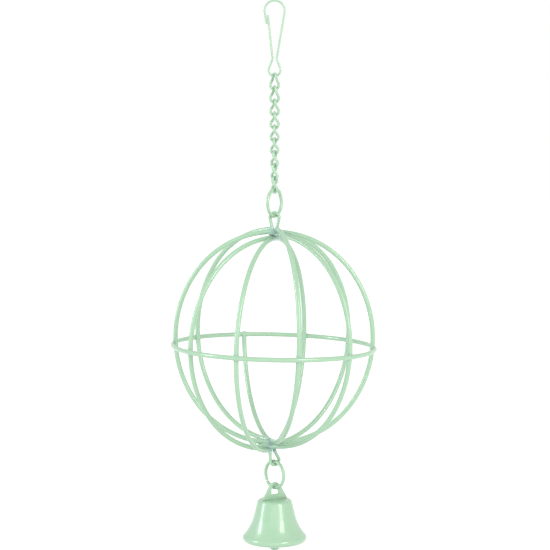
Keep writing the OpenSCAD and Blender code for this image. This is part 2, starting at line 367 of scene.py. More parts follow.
@dataclass(frozen=True)
class PaperFinish(Finish):
    """A matt pale sheet for the floor under the object, which gives off painted light, dim near the object as
    painted shade under it.

    Attributes:
        shade: Pattern of the sheet's grey.
        painted_glow: Painted light that the sheet gives off: dim under the object, as painted shade there, and
            bright far from it.
        clear: Distances from the object between which that light rises, in metres.
        roughness: Roughness of the sheet.
    """

    shade: Mottle = Mottle(3.0, gives=(0.58, 0.61))
    painted_glow: tuple[float, float] = (0.05, 0.55)
    clear: tuple[float, float] = (0.2, 0.6)
    roughness: float = 0.9

    def material(self) -> bpy.types.Material:
        """Makes the sheet's material.

        Returns:
            A material that reads Object coordinates.
        """
        made, shader, place = self.start()
        tree = made.node_tree
        away = tree.nodes.new("ShaderNodeVectorMath")
        away.operation = "LENGTH"
        tree.links.new(place, away.inputs[0])
        # Painted light: the sheet shines dim near the object, as painted shade, and bright far from it.
        lit = ranged(tree, away.outputs["Value"], self.clear, self.painted_glow, "SMOOTHSTEP")
        tree.links.new(lit, shader.inputs["Emission Strength"])
        tree.links.new(self.shade.value(tree, place), shader.inputs["Base Color"])
        shader.inputs["Emission Color"].default_value = (1.0, 1.0, 1.0, 1.0)
        shader.inputs["Roughness"].default_value = self.roughness
        return made


MINT = CoatFinish(
    "mint_coat",
    light=(0.270, 0.432, 0.292),
    deep=(0.262, 0.423, 0.283),
    # Painted shade over the welds: a little darker and bluer.
    pooled_shade=(0.262, 0.410, 0.352),
)
PAPER = PaperFinish("white_paper")


@dataclass(frozen=True)
class Weld:
    """A place where the coating has run together over a weld, with painted shade in its crevices.

    Attributes:
        at: Middle of the weld.
        reach: Distance over which the swelling fades.
        rise: How much thicker the wire is there, as a share of its radius.
        tint: How much the painted shade over the weld shows there.
    """

    at: Vector
    reach: float
    rise: float
    tint: float = 1.0

    def share(self, point: Vector) -> float:
        """Returns how far the weld is felt at a point, from 0 to 1."""
        return math.exp(-(((point - self.at).length / self.reach) ** 2))


def frames_along(line: Line, closed: bool) -> list[Matrix]:
    """Finds a frame at each point of a line, with its third axis along the line and no needless roll.

    Args:
        line: Points of the line.
        closed: Whether the last point runs on to the first.

    Returns:
        One matrix of rotation and place for each point.
    """
    count = len(line)
    ways = []
    for i in range(count):
        before = line[i - 1] if closed or i else line[i]
        after = line[(i + 1) % count] if closed or i < count - 1 else line[i]
        ways.append((after - before).normalized())
    side = ways[0].orthogonal().normalized()
    sides = [side]
    for one, two in pairwise(ways):
        side = one.rotation_difference(two) @ side
        side = (side - side.dot(two) * two).normalized()
        sides.append(side)
    roll = 0.0
    if closed:
        home = ways[-1].rotation_difference(ways[0]) @ side
        roll = math.atan2(sides[0].dot(ways[0].cross(home)), sides[0].dot(home)) / count
    frames = []
    for i, (point, way, side) in enumerate(zip(line, ways, sides)):
        across = Matrix.Rotation(roll * i, 3, way) @ side
        turn = Matrix((across, way.cross(across), way)).transposed().to_4x4()
        frames.append(Matrix.Translation(point) @ turn)
    return frames


@dataclass
class Wire:
    """A bent round wire under its coating.

    Attributes:
        name: The piece's name.
        line: The line that the wire's middle follows.
        diameter: Thickness of the wire.
        closed: Whether its ends are joined.
        welds: Where the coating swells over a weld.
        ends: How the two cut ends narrow, as pairs of distance and share of the radius.
        uneven: How much the coating's thickness wanders, as a share of the radius.
        wander: How quickly it wanders, to the millimetre.
        most_swell: The most that welds together add, as a share of the radius.
        sides: Number of faces round the wire.
    """

    name: str
    line: Line
    diameter: float
    closed: bool = False
    welds: list[Weld] = field(default_factory=list)
    ends: tuple[tuple[float, float], ...] = ((0.0, 0.6), (0.12, 0.86), (0.34, 1.0))
    uneven: float = 0.008
    wander: float = 0.35
    most_swell: float = 0.3
    sides: int = 20

    def radii(self) -> list[float]:
        """Works out how thick the coated wire is.

        Returns:
            The wire's radius at each point of its line.
        """
        found = []
        for point in self.line:
            swell = sum(weld.rise * weld.share(point) for weld in self.welds)
            drift = self.uneven * noise.noise(point * self.wander)
            found.append(self.diameter / 2 * (1.0 + min(swell, self.most_swell) + drift))
        if not self.closed:
            for order in (1, -1):
                self._narrow(found, order)
        return found

    def _narrow(self, radii: list[float], order: int) -> None:
        """Rounds one end of the wire.

        Args:
            radii: Radii along the line, changed in place.
            order: 1 for the line's first end, -1 for its last.
        """
        run, points = 0.0, self.line[::order]
        for i, point in enumerate(points):
            run += (point - points[i - 1]).length if i else 0.0
            for (near, small), (far, large) in pairwise(self.ends):
                if near <= run < far:
                    share = small + (large - small) * (run - near) / (far - near)
                    radii[i if order == 1 else -1 - i] *= share

    def mesh(self) -> bmesh.types.BMesh:
        """Draws the wire: one ring of edges is carried along the line, and the ends are closed.

        Returns:
            The wire in metres, with its pool_shade attribute, which places painted shade at the welds.
        """
        mesh = bmesh.new()
        pool_shade = mesh.verts.layers.float.new(POOL_SHADE)
        metres = Matrix.Scale(MM, 4)
        poses = [
            metres @ pose @ Matrix.Diagonal((radius, radius, 1.0, 1.0))
            for pose, radius in zip(frames_along(self.line, self.closed), self.radii())
        ]
        ring = bmesh.ops.create_circle(mesh, segments=self.sides, radius=1.0, matrix=poses[0])["verts"]
        edges = list(mesh.edges)
        first, rings = edges, [ring]
        for old, new in pairwise(poses):
            grown = bmesh.ops.extrude_edge_only(mesh, edges=edges)["geom"]
            ring = [part for part in grown if isinstance(part, bmesh.types.BMVert)]
            fresh = set(ring)
            edges = [e for e in grown if isinstance(e, bmesh.types.BMEdge) and fresh.issuperset(e.verts)]
            bmesh.ops.transform(mesh, matrix=new @ old.inverted(), verts=ring)
            rings.append(ring)
        # Painted shade: each ring takes its share of the darker, bluer colour at the welds.
        for point, ring in zip(self.line, rings):
            share = min(1.0, sum(weld.tint * weld.share(point) for weld in self.welds))
            for vert in ring:
                vert[pool_shade] = share
        if self.closed:
            bmesh.ops.bridge_loops(mesh, edges=first + edges)
        else:
            for loop in (first, edges):
                bmesh.ops.edgeloop_fill(mesh, edges=loop)
        return rounded(mesh)


@dataclass(frozen=True)
class Hold:
    """The lowest wire of an assembly, on which the next one hangs.

    Attributes:
        z: Height of the wire's middle.
        wire: Thickness of the wire.
        gap: Room between the wire and what hangs on it.
    """

    z: float
    wire: float
    gap: float = 0.12

    def over(self, thickness: float) -> float:
        """Returns the height of the middle of a wire of that thickness that lies on this one."""
        return self.z + (self.wire + thickness) / 2 + self.gap


@dataclass
class Workshop:
    """Turns meshes into finished pieces of the object.

    Attributes:
        coat: The material that every piece wears.
        slot: The record's material slot for it; not used.
    """

    coat: bpy.types.Material
    slot: str = "mint_coat"

    def piece(self, name: str, mesh: bmesh.types.BMesh, *nodes: str) -> bpy.types.Object:
        """Makes a coated piece that stands for CAD nodes.

        Args:
            name: The piece's name.
            mesh: Its shape in metres; it is freed here.
            nodes: The CAD nodes that it stands for.

        Returns:
            The new object, which rides on nothing yet.
        """
        data = bpy.data.meshes.new(name)
        mesh.to_mesh(data)
        mesh.free()
        data.materials.append(self.coat)
        made = bpy.data.objects.new(name, data)
        bpy.context.scene.collection.objects.link(made)
        if nodes:
            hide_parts(*nodes)
        LOG.info("%s: %d faces", name, len(data.polygons))
        return made

    def wire(self, wire: Wire, body: str, *nodes: str) -> bpy.types.Object:
        """Makes a wire and lets it ride on a body.

        Args:
            wire: The wire.
            body: The body that carries it.
            nodes: The CAD nodes that it stands for.

        Returns:
            The new object.
        """
        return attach(self.piece(wire.name, wire.mesh(), *nodes), body)


@dataclass
class SnapHook:
    """The wire snap hook: one wire that makes the tail, bow, leg, loop and sprung gate.

    Attributes:
        wire: Thickness of the wire.
        bow_r: Radius of the bow.
        shank: Depth of the neck below the bow's middle.
        neck_half: Half the neck's width.
        tail: Length of the straight at the bow's free end.
        gate_overlap: How far the gate reaches past the tail's end.
        gate_gap: Room between the gate and the tail.
        loop_r: Radius of the lower loop.
        loop_drop: Depth of the loop's middle below the neck.
        neck_bend: Radius of the bends at the neck.
        gate_root: Length of the straight from the neck's bend to the gate's root.
        spring_share: Share of the gate that bends as it opens; not used.
        bend_step: Distance between points on the bow and the loop.
        leg_step: Distance between points on the tail and the gate.
    """

    wire: float = 1.0
    bow_r: float = 4.9
    shank: float = 23.4
    neck_half: float = 1.0
    tail: float = 5.6
    gate_overlap: float = 4.1
    gate_gap: float = 0.3
    loop_r: float = 2.9
    loop_drop: float = 5.4
    neck_bend: float = 2.4
    gate_root: float = 1.6
    spring_share: float = 0.22
    bend_step: float = 0.25
    leg_step: float = 0.3

    @property
    def loop_z(self) -> float:
        """Height of the middle of the lower loop."""
        return -self.shank - self.loop_drop

    @property
    def hold(self) -> Hold:
        """The bottom of the lower loop."""
        return Hold(self.loop_z - self.loop_r, self.wire)

    def tail_line(self) -> tuple[Vector, Vector]:
        """Finds the bow's straight tail.

        Returns:
            Its root and its end.
        """
        turn = math.radians(leave(self.bow_r, self.neck_half, self.shank))
        root = Vector((-self.bow_r * math.sin(turn), 0.0, -self.bow_r * math.cos(turn)))
        return root, root + self.tail * Vector((math.cos(turn), 0.0, -math.sin(turn)))

    def gate_tip(self) -> Vector:
        """Finds the gate's free end, beside the tail and inside the hook.

        Returns:
            The middle of that end.
        """
        root, end = self.tail_line()
        way = (end - root).normalized()
        inward = Vector((-way.z, 0.0, way.x))
        return end + (self.wire + self.gate_gap) * inward - self.gate_overlap * way

    def lines(self) -> tuple[Line, Line]:
        """Lays the wire's line.

        Returns:
            The line from the tail's end to the gate's root, and the line of the gate.
        """
        right = yaw(0.0)
        bow_turn = leave(self.bow_r, self.neck_half, self.shank)
        loop_turn = leave(self.loop_r, self.neck_half, self.loop_drop)
        tail_root, tail_end = self.tail_line()
        leg_root = Vector((-tail_root.x, 0.0, tail_root.z))
        neck_right = Vector((self.neck_half, 0.0, -self.shank))
        neck_left = Vector((-self.neck_half, 0.0, -self.shank))
        loop = Vector((0.0, 0.0, self.loop_z))
        bow = arc(Vector(), right, self.bow_r, 270.0 - bow_turn, bow_turn - 90.0, self.bend_step)
        ring = arc(loop, right, self.loop_r, 90.0 - loop_turn, loop_turn - 270.0, self.bend_step)
        tip = self.gate_tip()
        left_bend = bent(ring[-1], neck_left, tip, self.neck_bend)
        root = left_bend[-1] + self.gate_root * (tip - left_bend[-1]).normalized()
        body = joined(
            straight(tail_end, tail_root, self.leg_step),
            bow,
            straight(bow[-1], leg_root),
            bent(leg_root, neck_right, ring[0], self.neck_bend),
            ring,
            left_bend,
            straight(left_bend[-1], root, self.leg_step),
        )
        return body, straight(root, tip, self.leg_step)

    def build(self, shop: Workshop) -> None:
        """Makes the hook and its gate, which springs from the neck.

        Args:
            shop: Where the pieces are made.
        """
        body, gate = self.lines()
        shop.wire(Wire("hook_wire", body, self.wire), "hook", "hook_wire_form")
        made = shop.piece("gate_wire", Wire("gate_wire", gate, self.wire).mesh(), "hook_gate")
        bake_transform(made)


@dataclass
class TwistChain:
    """The chain of links that were bent to an oval and twisted.

    Attributes:
        hangs_on: The wire that carries the first link.
        count: Number of links.
        wire: Thickness of the wire.
        bend_r: Radius of a link's bends.
        length: Length of a link, between the wire's middles.
        twist: Turn from a link's upper bend to its lower bend.
        turn: Turn from each link to the next.
        stiffness: How far a link's sides run on from its bends, as a share of the sides' length.
        uneven: How much the coating's thickness wanders.
        sides: Number of faces round the wire.
        bend_step: Distance between points on the bends.
    """

    hangs_on: Hold
    count: int = 9
    wire: float = 1.3
    bend_r: float = 2.05
    length: float = 7.72
    twist: float = 65.0
    turn: float = -7.0
    stiffness: float = 0.8
    uneven: float = 0.03
    sides: int = 18
    bend_step: float = 0.28

    @property
    def pitch(self) -> float:
        """Distance from each link to the next."""
        return self.length - self.wire - self.hangs_on.gap

    @property
    def hold(self) -> Hold:
        """The bottom of the last link."""
        return Hold(self.link_top(self.count) - self.length, self.wire)

    def link_top(self, order: int) -> float:
        """Returns the height of the wire's middle at the top of a link, counted from 1."""
        return self.hangs_on.over(self.wire) - (order - 1) * self.pitch

    def link(self, order: int) -> Line:
        """Lays the line of one link.

        Args:
            order: The link's place in the chain, from 1.

        Returns:
            The closed line: over the upper bend, down one side, under the lower bend and up the other side.
        """
        z = self.link_top(order)
        low = (order - 1) * self.turn
        high = low - self.twist
        upper = Vector((0.0, 0.0, z - self.bend_r))
        lower = Vector((0.0, 0.0, z - self.length + self.bend_r))
        over = arc(upper, yaw(high), self.bend_r, 0.0, 180.0, self.bend_step)
        under = arc(lower, yaw(low), self.bend_r, 180.0, 360.0, self.bend_step)
        pull = (over[-1] - under[0]).length * self.stiffness
        down = swing(over[-1], -pull * UP, under[0], -pull * UP)
        up = swing(under[-1], pull * UP, over[0], pull * UP)
        return joined(over, down, under, up)[:-1]

    def build(self, shop: Workshop) -> None:
        """Makes the links.

        Args:
            shop: Where the pieces are made.
        """
        for order in range(1, self.count + 1):
            wire = Wire(
                f"link_{order}_wire",
                self.link(order),
                self.wire,
                closed=True,
                uneven=self.uneven,
                sides=self.sides,
            )
            shop.wire(wire, f"link_{order}", f"chain_link_{order}")


@dataclass
class SplitRing:
    """A round ring of wire that is bent shut, with its two ends not quite in line.

    Attributes:
        name: The ring's name, which is its body's and its node's too.
        hangs_on: The wire that carries it.
        turn: Turn of the ring's plane, from +X.
        split_at: Angle of the split in that plane, from the level.
        wire: Thickness of the wire.
        radius: Radius of the ring.
        split: Width of the split.
        step_aside: How far the two ends are out of line.
        uneven: How much the coating's thickness wanders.
    """

    name: str
    hangs_on: Hold
    turn: float
    split_at: float
    wire: float = 1.7
    radius: float = 6.65
    split: float = 0.5
    step_aside: float = 0.35
    uneven: float = 0.03

    @property
    def z(self) -> float:
        """Height of the ring's middle."""
        return self.hangs_on.over(self.wire) - self.radius

    @property
    def hold(self) -> Hold:
        """The bottom of the ring."""
        return Hold(self.z - self.radius, self.wire)

    def line(self) -> Line:
        """Lays the ring's line.

        Returns:
            The line from one cut end to the other.
        """
        half = math.degrees(self.split / 2 / self.radius)
        start, end = self.split_at + half, self.split_at + 360.0 - half
        round_line = arc(Vector((0.0, 0.0, self.z)), yaw(self.turn), self.radius, start, end)
        out = yaw(self.turn + 90.0)
        last = len(round_line) - 1
        return [p + out * self.step_aside * (i / last - 0.5) for i, p in enumerate(round_line)]

    def build(self, shop: Workshop) -> None:
        """Makes the ring."""
        wire = Wire(f"{self.name}_wire", self.line(), self.wire, uneven=self.uneven)
        shop.wire(wire, self.name, self.name)


@dataclass(frozen=True)
class RibPlace:
    """Where a rib stands: its bearing, and how far its middle lies above the middle between the hoops."""

    at: float
    lift: float


@dataclass
class WireBall:
    """The ball: two oval hoops, five ribs, a short rib, a belt and two eyes, welded together and coated.

    Attributes:
        hangs_on: The wire that carries the top eye.
        wire: Thickness of the hoops and ribs.
        half_w: Half a hoop's width.
        rise: How much more its half height is.
        ease: How much smaller the bends at its ends are than half its width.
        stack: How far the cross hoop lies below the side hoop.
        cross_aside: How far the cross hoop sits off the axis.
        lean: Degrees by which the ball leans.
        aside: How far the ball sits to the left.
        rib_end: Distance of a rib's ends from the axis.
        belt_wire: Thickness of the belt.
        belt_drop: Depth of the belt below the side hoop's middle.
        belt_sink: How deep the belt is welded into the wires.
        belt_steps: Number of points round the belt.
        short_tip: Height of the short rib's end above the belt.
        side_at: Bearing of the side hoop.
        cross_at: Bearing of the cross hoop.
        short: Where the short rib stands.
        ribs: Where each of the other ribs stands.
        flank_step: Distance between points on a hoop's flanks.
        end_step: Distance between points on the bends at its ends.
        eye_wire: Thickness of the eyes.
        eye_r: Radius of an eye's bend.
        eye_sink: How deep an eye's feet are welded into a hoop.
        eye_heights: Height of each eye over its hoop.
        eye_feet: Half the distance between each eye's feet.
        eye_turns: Turn of each eye's plane, from +X.
        eye_skews: How far each eye's feet are set aside.
        eye_step: Distance between points on an eye's bend.
        foot_step: Distance between points on its legs.
        weld_sizes: Half sizes of the lump at each pole.
        weld_places: Place of that lump from the pole.
        lumpiness: How uneven the lump is.
        lump_scale: Fineness of that unevenness.
        pool_shade_reach: Distance from the lump's middle over which its painted shade fades.
    """

    hangs_on: Hold
    wire: float = 2.35
    half_w: float = 48.9
    rise: float = 3.7
    ease: float = 1.8
    stack: float = 3.3
    cross_aside: float = 0.9
    lean: float = 1.3
    aside: float = 0.4
    rib_end: float = 1.8
    belt_wire: float = 2.25
    belt_drop: float = 4.3
    belt_sink: float = 1.3
    belt_steps: int = 480
    short_tip: float = 2.1
    side_at: float = 87.0
    cross_at: float = -20.0
    short: RibPlace = RibPlace(198.5, 2.3)
    ribs: dict[str, RibPlace] = field(
        default_factory=lambda: {
            "rib_front_left": RibPlace(-54.5, -1.2),
            "rib_front_right": RibPlace(14.0, 2.9),
            "rib_right_front": RibPlace(48.0, 0.2),
            "rib_right_back": RibPlace(128.5, 0.9),
            "rib_left_back": RibPlace(233.0, 2.9),
        }
    )
    flank_step: float = 0.8
    end_step: float = 0.6
    eye_wire: float = 1.65
    eye_r: float = 2.35
    eye_sink: float = 0.9
    eye_heights: dict[Pole, float] = field(default_factory=lambda: {Pole.TOP: 9.4, Pole.BOTTOM: 7.8})
    eye_feet: dict[Pole, float] = field(default_factory=lambda: {Pole.TOP: 0.85, Pole.BOTTOM: 1.1})
    eye_turns: dict[Pole, float] = field(default_factory=lambda: {Pole.TOP: -15.0, Pole.BOTTOM: 20.0})
    eye_skews: dict[Pole, float] = field(default_factory=lambda: {Pole.TOP: 0.0, Pole.BOTTOM: 1.4})
    eye_step: float = 0.25
    foot_step: float = 0.3
    weld_sizes: dict[Pole, Vector] = field(
        default_factory=lambda: {Pole.TOP: Vector((3.6, 2.2, 1.3)), Pole.BOTTOM: Vector((6.2, 3.0, 2.0))}
    )
    weld_places: dict[Pole, Vector] = field(
        default_factory=lambda: {Pole.TOP: Vector((-1.0, -0.2, 0.6)), Pole.BOTTOM: Vector((-0.8, 0.0, 0.2))}
    )
    lumpiness: float = 0.22
    lump_scale: float = 1.6
    pool_shade_reach: float = 2.4

    @property
    def half_h(self) -> float:
        """Half the height of a hoop."""
        return self.half_w + self.rise

    @property
    def side_z(self) -> float:
        """Height of the side hoop's middle."""
        return self.hangs_on.over(self.eye_wire) - self.eye_heights[Pole.TOP] - self.half_h

    @property
    def cross_z(self) -> float:
        """Height of the cross hoop's middle."""
        return self.side_z - self.stack

    @property
    def rib_z(self) -> float:
        """Height of the middle between the hoops."""
        return (self.side_z + self.cross_z) / 2

    @property
    def belt_z(self) -> float:
        """Height of the belt."""
        return self.side_z - self.belt_drop

    @property
    def belt_r(self) -> float:
        """Radius of the belt."""
        return self.half_w + (self.wire + self.belt_wire) / 2 - self.belt_sink

    @property
    def hold(self) -> Hold:
        """The bottom of the lower eye."""
        return Hold(self.cross_z - self.half_h - self.eye_heights[Pole.BOTTOM], self.eye_wire)

    def leaning(self, point: Vector) -> Vector:
        """Leans the ball.

        Args:
            point: A point of the upright ball.

        Returns:
            Where that point lies in the ball as it leans.
        """
        middle = self.rib_z * UP
        turned = Matrix.Rotation(math.radians(self.lean), 3, "Y") @ (point - middle)
        return turned + middle - self.aside * yaw(0.0)

    def half_oval(self, z: float, out: Vector, end: float) -> Line:
        """Lays half a hoop, from its lower end to its upper end.

        Args:
            z: Height of the hoop's middle.
            out: Level direction in which the half bulges.
            end: Distance of its ends from the axis.

        Returns:
            The half's line.
        """
        end_r = self.half_w - self.ease
        lift = self.rise + self.ease
        flank_r = self.half_w - self.ease / 2 + lift**2 / (2 * self.ease)
        join = math.degrees(math.atan2(lift, flank_r - self.half_w))
        stop = math.degrees(math.acos(end / end_r))
        middle = Vector((0.0, 0.0, z))
        flank = arc(middle + (self.half_w - flank_r) * out, out, flank_r, -join, join, self.flank_step)
        upper = arc(middle + lift * UP, out, end_r, join, stop, self.end_step)
        lower = arc(middle - lift * UP, out, end_r, -stop, -join, self.end_step)
        return joined(lower, flank, upper)

    def belt_weld(self, at: float, radius: float) -> Weld:
        """Returns the weld of the belt to the wire at a bearing, at that distance from the axis."""
        # The belt's welds take only a fifth of the painted shade.
        return Weld(self.leaning(bearing(at) * radius + self.belt_z * UP), reach=2.4, rise=0.1, tint=0.2)

    def pole_weld(self, pole: Pole, z: float) -> Weld:
        """Returns the weld at a pole of a wire whose middle is at that height."""
        return Weld(self.leaning((z + pole.value * self.half_h) * UP), reach=4.5, rise=0.1)

    def hoop(self, name: str, z: float, at: float, aside: float = 0.0) -> Wire:
        """Makes a full hoop from two halves.

        Args:
            name: The piece's name.
            z: Height of its middle.
            at: Bearing of one half.
            aside: How far it sits off the ball's axis, to the left as seen from that bearing.

        Returns:
            The hoop.
        """
        near = self.half_oval(z, bearing(at), 0.0)
        far = self.half_oval(z, bearing(at + 180.0), 0.0)
        welds = [self.belt_weld(at, self.half_w), self.belt_weld(at + 180.0, self.half_w)]
        welds += [self.pole_weld(pole, z) for pole in Pole]
        line = [self.leaning(p - aside * yaw(at)) for p in joined(near, far[::-1])[:-1]]
        return Wire(name, line, self.wire, closed=True, welds=welds)

    def rib(self, name: str, place: RibPlace, top: float = math.inf) -> Wire:
        """Makes a rib that ends at the hoops, or below them.

        Args:
            name: The piece's name.
            place: Where the rib stands.
            top: Height at which it is cut off.

        Returns:
            The rib.
        """
        z = self.rib_z + place.lift
        line = [p for p in self.half_oval(z, bearing(place.at), self.rib_end) if p.z <= top]
        welds = [self.belt_weld(place.at, self.half_w)] + [self.pole_weld(pole, z) for pole in Pole]
        return Wire(name, [self.leaning(p) for p in line], self.wire, welds=welds)

    def belt(self) -> Wire:
        """Makes the belt.

        Returns:
            The belt, with its coating swollen at each wire that it crosses.
        """
        bearings = [self.side_at, self.side_at + 180.0, self.cross_at, self.cross_at + 180.0]
        bearings += [place.at for place in (self.short, *self.ribs.values())]
        turns = [360.0 * i / self.belt_steps for i in range(self.belt_steps)]
        line = [self.leaning(bearing(turn) * self.belt_r + self.belt_z * UP) for turn in turns]
        welds = [self.belt_weld(at, self.belt_r) for at in bearings]
        return Wire("belt_wire", line, self.belt_wire, closed=True, welds=welds)

    def eye(self, pole: Pole) -> Wire:
        """Makes one of the eyes.

        Args:
            pole: The end of the ball that it stands on.

        Returns:
            The eye, from one foot over its bend to the other.
        """
        hoop_z = self.side_z if pole is Pole.TOP else self.cross_z
        foot_z = hoop_z + pole.value * (self.half_h + self.wire / 2 - self.eye_sink)
        middle_z = hoop_z + pole.value * (self.half_h + self.eye_heights[pole] - self.eye_r)
        half, skew = self.eye_feet[pole], self.eye_skews[pole]
        turn = leave(self.eye_r, half, abs(middle_z - foot_z))
        across = yaw(self.eye_turns[pole])
        middle = Vector((0.0, 0.0, middle_z))
        bend = arc(Vector(), across, self.eye_r, turn - 90.0, 270.0 - turn, self.eye_step)
        bend = [middle + Vector((p.x, p.y, p.z * pole.value)) for p in bend]
        feet = [(side * half - skew) * across + foot_z * UP for side in (1, -1)]
        legs = straight(feet[0], bend[0], self.foot_step), straight(bend[-1], feet[1], self.foot_step)
        welds = [Weld(foot, reach=1.5, rise=0.22) for foot in feet]
        name = f"{pole.name.lower()}_eye_wire"
        return Wire(name, joined(legs[0], bend, legs[1]), self.eye_wire, welds=welds)

    def puddle(self, pole: Pole) -> bmesh.types.BMesh:
        """Makes the lump of metal and coating that fills the middle of a pole.

        Args:
            pole: The end of the ball that it fills.

        Returns:
            A flattened, uneven lump, in metres.
        """
        mesh = bmesh.new()
        pool_shade = mesh.verts.layers.float.new(POOL_SHADE)
        bmesh.ops.create_icosphere(mesh, subdivisions=4, radius=1.0)
        size = self.weld_sizes[pole]
        middle = self.leaning(self.weld_places[pole] + (self.rib_z + pole.value * self.half_h) * UP)
        for vert in mesh.verts:
            lumpy = 1.0 + self.lumpiness * noise.noise(vert.co * self.lump_scale + middle)
            spread = Vector((vert.co.x * size.x, vert.co.y * size.y, vert.co.z * size.z)) * lumpy
            vert.co = (middle + spread) * MM
            # Painted shade: the darker, bluer colour fades out from the lump's middle.
            vert[pool_shade] = math.exp(-((spread.x / self.pool_shade_reach) ** 2))
        return rounded(mesh)

    def build(self, shop: Workshop) -> None:
        """Makes the hoops, ribs, belt, eyes and the lumps at the poles.

        Args:
            shop: Where the pieces are made.
        """
        side = self.hoop("side_hoop_wire", self.side_z, self.side_at)
        shop.wire(side, "ball", "side_hoop")
        cross = self.hoop("cross_hoop_wire", self.cross_z, self.cross_at, self.cross_aside)
        shop.wire(cross, "ball", "cross_hoop")
        for name, place in self.ribs.items():
            shop.wire(self.rib(f"{name}_wire", place), "ball", name)
        short = self.rib("short_rib_wire", self.short, self.belt_z + self.short_tip)
        shop.wire(short, "ball", "short_rib_back")
        shop.wire(self.belt(), "ball", "belt_ring")
        for pole in Pole:
            end = pole.name.lower()
            shop.wire(self.eye(pole), "ball", f"{end}_eye")
            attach(shop.piece(f"{end}_weld", self.puddle(pole)), "ball")


@dataclass
class Bell:
    """The bell: a drawn shell with a rolled lip, a stamped hanger, and a clapper on a wire.

    Attributes:
        hangs_on: The wire that carries the hanger.
        wall: Thickness of the shell.
        crown_r: Radius of the crown's flat.
        shoulder_r: Radius of the bend at the crown's edge.
        waist_slope: Slope of the waist, in degrees from upright.
        waist_len: Length of the waist.
        flare_r: Radius of the flare.
        flare_slope: Slope at the end of the flare.
        lip_r: Radius of the rolled lip.
        lip_roll: How far the lip rolls in past upright, in degrees.
        lip_bulge: How far the lip's cut edge is rounded, as a share of the wall.
        bend_steps: Number of steps along the shoulder, the flare and the lip.
        nearest: Least distance between two points of the wall.
        sheet: Thickness of the hanger.
        edge_r: Rounding of the hanger's edges.
        base: Width of the hanger's foot.
        height: Height of the hanger over the crown.
        top_r: Radius of the hanger's top.
        shoulder: Height of the foot's upright ends.
        window_w: Width of the window.
        window_bar: Height of the bar over the window.
        window_sill: Height of the window's sill over the crown.
        hanger_turn: Turn of the hanger, from +X.
        tongue_drop: Depth of the tongue's hole below the shell's inside.
        hole_r: Radius of the tongue's hole.
        rim: Width of the tongue round the hole.
        barb: Width and height of the barbs that hold the tongue.
        slot_gap: Room between the barbs and the shell.
        clapper_wire: Thickness of the clapper's wire.
        clapper_loop_r: Radius of its eye.
        clapper_loop_end: Angle at which the eye's wire ends.
        clapper_gap: Room between the eye and the hole.
        clapper_len: Length of the clapper, from the hole to the ball's middle.
        ball_d: Diameter of the clapper's ball.
        bore_flare: How much wider the mouth of the ball's bore is, as a factor.
        bore_depths: Depth of the bore that is made, and of its mouth.
        peen_d: Diameter of the peened head.
        peen_h: Height of the peened head.
        peen_outline: The head's outline, as shares of its radius and heights over its end.
    """

    hangs_on: Hold
    wall: float = 0.9
    crown_r: float = 7.0
    shoulder_r: float = 1.8
    waist_slope: float = 14.0
    waist_len: float = 7.0
    flare_r: float = 24.0
    flare_slope: float = 41.0
    lip_r: float = 1.9
    lip_roll: float = 78.0
    lip_bulge: float = 0.42
    bend_steps: tuple[int, int, int] = (14, 22, 26)
    nearest: float = 0.02
    sheet: float = 1.0
    edge_r: float = 0.16
    base: float = 14.2
    height: float = 8.6
    top_r: float = 3.6
    shoulder: float = 0.7
    window_w: float = 4.2
    window_bar: float = 1.8
    window_sill: float = 2.6
    hanger_turn: float = 35.0
    tongue_drop: float = 2.8
    hole_r: float = 1.3
    rim: float = 1.0
    barb: float = 0.8
    slot_gap: float = 0.1
    clapper_wire: float = 1.0
    clapper_loop_r: float = 2.0
    clapper_loop_end: float = 248.0
    clapper_gap: float = 0.2
    clapper_len: float = 19.5
    ball_d: float = 6.0
    bore_flare: float = 1.3
    bore_depths: tuple[float, float] = (0.35, 0.05)
    peen_d: float = 2.0
    peen_h: float = 1.4
    peen_outline: tuple[tuple[float, float], ...] = (
        (0.96, 1.2), (1.0, 0.5), (0.8, 0.15), (0.4, 0.0), (0.0, 0.0)
    )

    @property
    def crown_z(self) -> float:
        """Height of the crown."""
        return self.hangs_on.over(0.0) - (self.height - self.window_bar)

    @property
    def hole_z(self) -> float:
        """Height of the hole in the hanger's tongue."""
        return self.crown_z - self.wall - self.tongue_drop

    @property
    def ball_z(self) -> float:
        """Height of the middle of the clapper's ball."""
        return self.hole_z - self.clapper_len

    def wall_line(self, inset: float) -> Outline:
        """Lays one side of the wall's outline, from the axis to the end of the lip.

        Args:
            inset: Distance inwards from the outer side.

        Returns:
            Pairs of radius and depth under the crown.
        """
        points = [(0.0, inset), (self.crown_r / 2, inset)]
        radius, depth = self.crown_r, inset
        slopes = pairwise((90.0, self.waist_slope, self.flare_slope, -self.lip_roll))
        runs = (0.0, self.waist_len, 0.0)
        radii = (self.shoulder_r - inset, -self.flare_r - inset, self.lip_r - inset)
        for (start, end), run, bend_r, steps in zip(slopes, runs, radii, self.bend_steps):
            first = math.radians(start)
            radius += run * math.sin(first)
            depth += run * math.cos(first)
            for i in range(steps + 1):
                slope = math.radians(start + (end - start) * i / steps)
                here = (
                    radius + bend_r * (math.cos(slope) - math.cos(first)),
                    depth + bend_r * (math.sin(first) - math.sin(slope)),
                )
                if math.dist(here, points[-1]) > self.nearest:
                    points.append(here)
            radius, depth = points[-1]
        return points

    def shell(self) -> bmesh.types.BMesh:
        """Turns the wall's outline about the axis.

        Returns:
            The shell, closed, in metres.
        """
        outer = self.wall_line(0.0)
        inner = self.wall_line(self.wall)[::-1]
        last, first = Vector(outer[-1]), Vector(inner[0])
        out = Vector((last.y - first.y, first.x - last.x)).normalized()
        tip = (last + first) / 2 + self.lip_bulge * self.wall * out
        profile = [(r, self.crown_z - depth) for r, depth in [*outer, tuple(tip), *inner]]
        return rounded(spun(profile, steps=128, merge=0.01))

